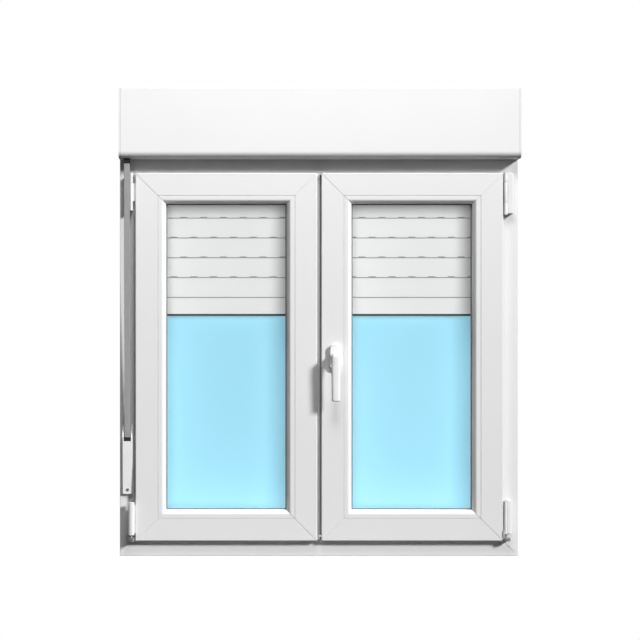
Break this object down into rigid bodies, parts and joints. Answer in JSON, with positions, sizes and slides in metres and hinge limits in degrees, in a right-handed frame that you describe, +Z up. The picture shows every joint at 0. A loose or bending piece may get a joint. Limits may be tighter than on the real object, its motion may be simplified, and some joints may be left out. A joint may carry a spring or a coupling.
{
  "type": "casement window",
  "caption": "White PVC inward-opening double casement window, tilt-and-turn right leaf, roller-shutter box above and strap winder on the left jamb.",
  "frame": {"origin": "middle of the outer frame's underside, half way through the frame's depth", "axes": "+X to the right as seen from the room, +Y towards the outdoors, +Z up"},
  "size_m": [1, 0.1958, 1.178],
  "materials": {
    "pvc_white": "smooth satin PVC profile, welded mitres",
    "box_white": "smooth satin PVC panels",
    "guide_white": "smooth satin PVC profile",
    "slat_white": "extruded PVC slats",
    "zinc_steel": "zinc plated",
    "hinge_metal": "plain metal bracket",
    "hinge_white": "white hinge covers",
    "handle_white": "powder-coated lever",
    "glass_clear": "clear double glazing with a pale blue tint",
    "spacer_metal": "mill finish",
    "rubber_grey": "grey glazing gasket",
    "rubber_black": "black weather seal",
    "brush_grey": "woven pile",
    "strap_grey": "woven strap with lengthwise ribs",
    "winder_white": "moulded plastic",
    "black_plastic": "moulded plastic",
    "grey_plastic": "moulded plastic"
  },
  "bodies": {
    "frame": {"frame_head": "pvc_white", "frame_sill": "pvc_white", "frame_jamb_left": "pvc_white", "frame_jamb_right": "pvc_white", "frame_steel": "zinc_steel", "frame_seals": "rubber_black", "drain_caps": "pvc_white", "guide_left": "guide_white", "guide_right": "guide_white", "guide_brushes": "brush_grey", "box_bottom": "box_white", "box_back": "box_white", "box_end_left": "box_white", "box_end_right": "box_white", "axle_bearings": "zinc_steel", "strap": "strap_grey", "strap_guide": "black_plastic", "winder_case": "winder_white", "winder_mouth": "black_plastic", "winder_screw": "zinc_steel", "left_top_hinge_frame": "hinge_white", "left_bottom_hinge_bracket": "hinge_metal", "right_top_hinge_frame": "hinge_white", "right_bottom_hinge_bracket": "hinge_metal", "right_bottom_hinge_cover": "hinge_white"},
    "box_cover": {"box_cover": "box_white"},
    "axle": {"axle_tube": "zinc_steel", "strap_pulley": "grey_plastic", "pulley_strap": "strap_grey", "rolled_slats": "slat_white"},
    "curtain": {"shutter_slats": "slat_white", "end_slat": "slat_white", "end_slat_rubber": "rubber_black"},
    "winder_drum": {"winder_drum": "grey_plastic", "drum_strap": "strap_grey"},
    "left_sash": {"left_sash_frame": "pvc_white", "left_sash_steel": "zinc_steel", "left_glass": "glass_clear", "left_spacer": "spacer_metal", "left_beads": "pvc_white", "left_gaskets": "rubber_grey", "false_mullion": "pvc_white", "left_top_hinge_leaf": "hinge_white", "left_bottom_hinge_knuckle": "hinge_white"},
    "left_bolt_top": {"left_bolt_top": "zinc_steel"},
    "left_bolt_bottom": {"left_bolt_bottom": "zinc_steel"},
    "right_pivot": {"corner_pin": "zinc_steel"},
    "right_sash": {"right_sash_frame": "pvc_white", "right_sash_steel": "zinc_steel", "right_glass": "glass_clear", "right_spacer": "spacer_metal", "right_beads": "pvc_white", "right_gaskets": "rubber_grey", "gearbox": "zinc_steel", "handle_rosette": "handle_white", "right_bottom_hinge_knuckle": "hinge_white"},
    "stay_arm": {"stay_arm": "zinc_steel"},
    "lock_rod": {"lock_rod": "zinc_steel"},
    "handle": {"handle_lever": "handle_white", "handle_spindle": "zinc_steel"}
  },
  "joints": [
    {"name": "left_turn", "type": "hinge", "parent": "frame", "child": "left_sash", "pos_m": [-0.4698, -0.059, 0.5], "axis": [0, 0, -1], "range_deg": [0, 90]},
    {"name": "left_bolt_shoot", "type": "slide", "parent": "left_sash", "child": "left_bolt_top", "axis": [0, 0, 1], "range_m": [0, 0.012]},
    {"name": "left_bolt_shoot_low", "type": "slide", "parent": "left_sash", "child": "left_bolt_bottom", "axis": [0, 0, -1], "range_m": [0, 0.012]},
    {"name": "right_turn", "type": "hinge", "parent": "frame", "child": "right_pivot", "pos_m": [0.4655, -0.0545, 0.052], "axis": [0, 0, 1], "range_deg": [0, 90]},
    {"name": "right_tilt", "type": "hinge", "parent": "right_pivot", "child": "right_sash", "pos_m": [0.4655, -0.0545, 0.052], "axis": [1, 0, 0], "range_deg": [0, 7.5]},
    {"name": "stay_swing", "type": "hinge", "parent": "right_pivot", "child": "stay_arm", "pos_m": [0.4655, -0.0545, 0.912], "axis": [0, 0, 1], "range_deg": [0, 26.5]},
    {"name": "handle_turn", "type": "hinge", "parent": "right_sash", "child": "handle", "pos_m": [0.039, -0.055, 0.5], "axis": [0, -1, 0], "range_deg": [0, 180]},
    {"name": "lock_rod_slide", "type": "slide", "parent": "right_sash", "child": "lock_rod", "axis": [0, 0, 1], "range_m": [0, 0.0361]},
    {"name": "shutter_lift", "type": "slide", "parent": "frame", "child": "curtain", "axis": [0, 0, 1], "range_m": [-0.048, 0.105]},
    {"name": "axle_spin", "type": "hinge", "parent": "frame", "child": "axle", "pos_m": [0, 0.001, 1.087], "axis": [1, 0, 0], "range_deg": [-62, 134]},
    {"name": "drum_spin", "type": "hinge", "parent": "frame", "child": "winder_drum", "pos_m": [-0.4805, -0.004, 0.225], "axis": [1, 0, 0], "range_deg": [-158, 344]},
    {"name": "cover_swing", "type": "hinge", "parent": "frame", "child": "box_cover", "pos_m": [0, -0.075, 1.178], "axis": [-1, 0, 0], "range_deg": [0, 75]}
  ],
  "couplings": [
    {"joint": "left_bolt_shoot_low", "follows": "left_bolt_shoot", "ratio": 1},
    {"joint": "stay_swing", "follows": "right_tilt", "ratio": 3.5},
    {"joint": "lock_rod_slide", "follows": "handle_turn", "m_per_rad": 0.01146},
    {"joint": "axle_spin", "follows": "shutter_lift", "rad_per_m": 22},
    {"joint": "drum_spin", "follows": "shutter_lift", "rad_per_m": 57}
  ]
}
